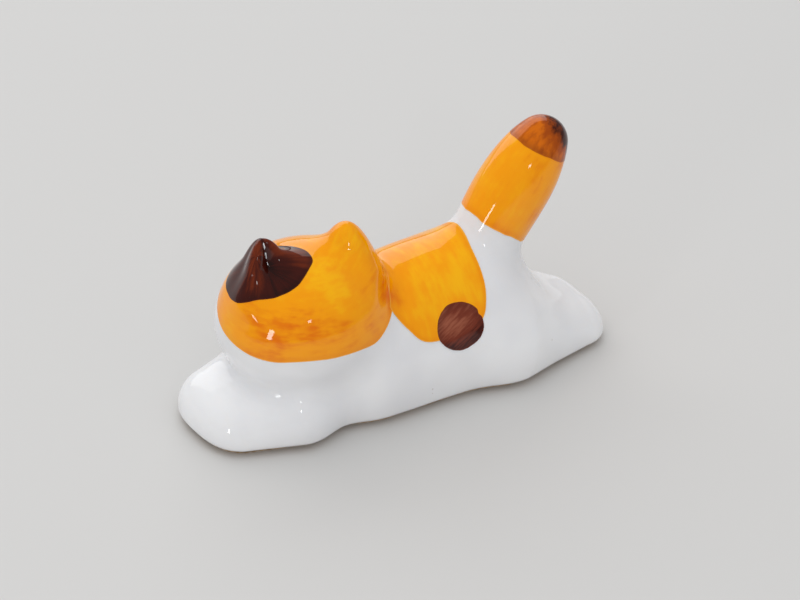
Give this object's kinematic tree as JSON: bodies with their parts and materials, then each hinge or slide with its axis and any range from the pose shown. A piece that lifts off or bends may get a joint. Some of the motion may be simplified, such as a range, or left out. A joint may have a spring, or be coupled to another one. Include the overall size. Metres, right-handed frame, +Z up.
{
  "type": "chopstick rest",
  "caption": "Porcelain chopstick rest shaped like a stretched cat; the sticks lie over its back, between the head and the raised tail.",
  "frame": {"origin": "on the table plane, under the middle of the figure's bounding box", "axes": "+X from the forepaws to the hind paws, +Y the side to which the face looks, +Z up from the table"},
  "size_m": [0.0625, 0.025, 0.0351],
  "materials": {
    "white_glaze": "glossy clear glaze over white porcelain",
    "bare_clay": "matte unglazed clay, ground flat",
    "orange_colour": "brushed orange ceramic colour under glossy clear glaze",
    "brown_colour": "brushed dark brown ceramic colour under glossy clear glaze"
  },
  "bodies": {
    "root": {"torso": "white_glaze", "left_foreleg": "white_glaze", "right_foreleg": "white_glaze", "left_hind_leg": "white_glaze", "right_hind_leg": "white_glaze", "head": "white_glaze", "left_ear": "white_glaze", "right_ear": "white_glaze", "tail": "white_glaze", "foot": "bare_clay", "head_cap": "orange_colour", "back_patch": "orange_colour", "tail_band": "orange_colour", "ear_patch": "brown_colour", "flank_spot": "brown_colour", "tail_tip": "brown_colour"}
  },
  "joints": []
}
